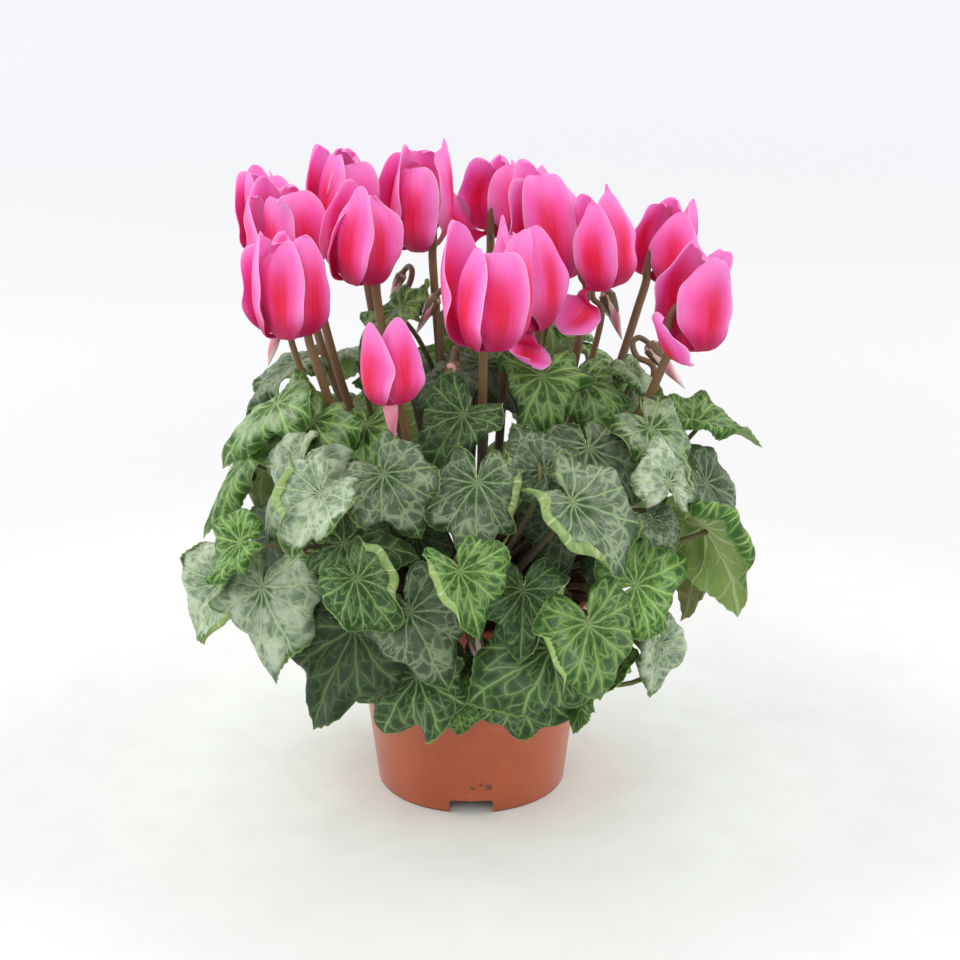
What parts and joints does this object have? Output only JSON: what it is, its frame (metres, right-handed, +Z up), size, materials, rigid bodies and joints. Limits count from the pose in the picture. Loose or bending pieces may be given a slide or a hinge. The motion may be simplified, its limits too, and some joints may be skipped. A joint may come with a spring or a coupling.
{
  "type": "potted cyclamen",
  "caption": "Flowering cyclamen in a round tapered nursery pot: a dome of heart-shaped marbled leaves under upright stalks with swept-back pink blooms and nodding buds.",
  "frame": {"origin": "middle of the pot's foot, on the surface that the pot stands on", "axes": "+Z up along the pot's axis; the front of the plant faces -Y and its right-hand side, seen from the front, is +X"},
  "size_m": [0.2712, 0.2713, 0.3083],
  "materials": {
    "pot": "satin terracotta-coloured plastic",
    "compost": "damp crumbly peat",
    "tuber": "rough brown corky skin",
    "leaf": "fleshy, satin, marbled silver-grey and green",
    "stalk": "fleshy, satin, red-brown",
    "petal": "soft hot pink, crimson at the base",
    "bud": "pale pink with green-brown sepals"
  },
  "bodies": {
    "root": {"pot": "pot", "compost": "compost", "tuber": "tuber", "bloom_01": "petal", "bloom_02": "petal", "bloom_03": "petal", "bloom_04": "petal", "bloom_05": "petal", "bloom_06": "petal", "bloom_07": "petal", "bloom_08": "petal", "bloom_09": "petal", "bloom_10": "petal", "bloom_11": "petal", "bloom_12": "petal", "bloom_13": "petal", "bloom_14": "petal", "bud_01": "bud", "bud_02": "bud", "bud_03": "bud", "bud_04": "bud", "bud_05": "bud", "bud_06": "bud", "buds_front_low": "bud", "flower_stalk_01": "stalk", "flower_stalk_02": "stalk", "flower_stalk_03": "stalk", "flower_stalk_04": "stalk", "flower_stalk_05": "stalk", "flower_stalk_06": "stalk", "flower_stalk_07": "stalk", "flower_stalk_08": "stalk", "flower_stalk_09": "stalk", "flower_stalk_10": "stalk", "flower_stalk_11": "stalk", "flower_stalk_12": "stalk", "flower_stalk_13": "stalk", "flower_stalk_14": "stalk", "leaf_spray_back_01": "leaf", "leaf_spray_back_02": "leaf", "leaf_spray_back_03": "leaf", "leaf_spray_back_04": "leaf", "leaf_spray_back_05": "leaf", "leaf_spray_back_06": "leaf", "leaf_spray_back_07": "leaf", "leaf_spray_front_left_low": "leaf", "leaf_spray_front_middle": "leaf", "leaf_spray_front_right_low": "leaf", "leaf_spray_front_upper": "leaf", "leaf_spray_left_middle": "leaf", "leaf_spray_left_outer": "leaf", "leaf_spray_left_shoulder": "leaf", "leaf_spray_left_upper": "leaf", "leaf_spray_right_middle": "leaf", "leaf_spray_right_outer": "leaf", "leaf_spray_right_shoulder": "leaf", "leaf_spray_right_top": "leaf", "leaf_spray_right_upper": "leaf", "leaf_spray_top": "leaf"}
  },
  "joints": []
}
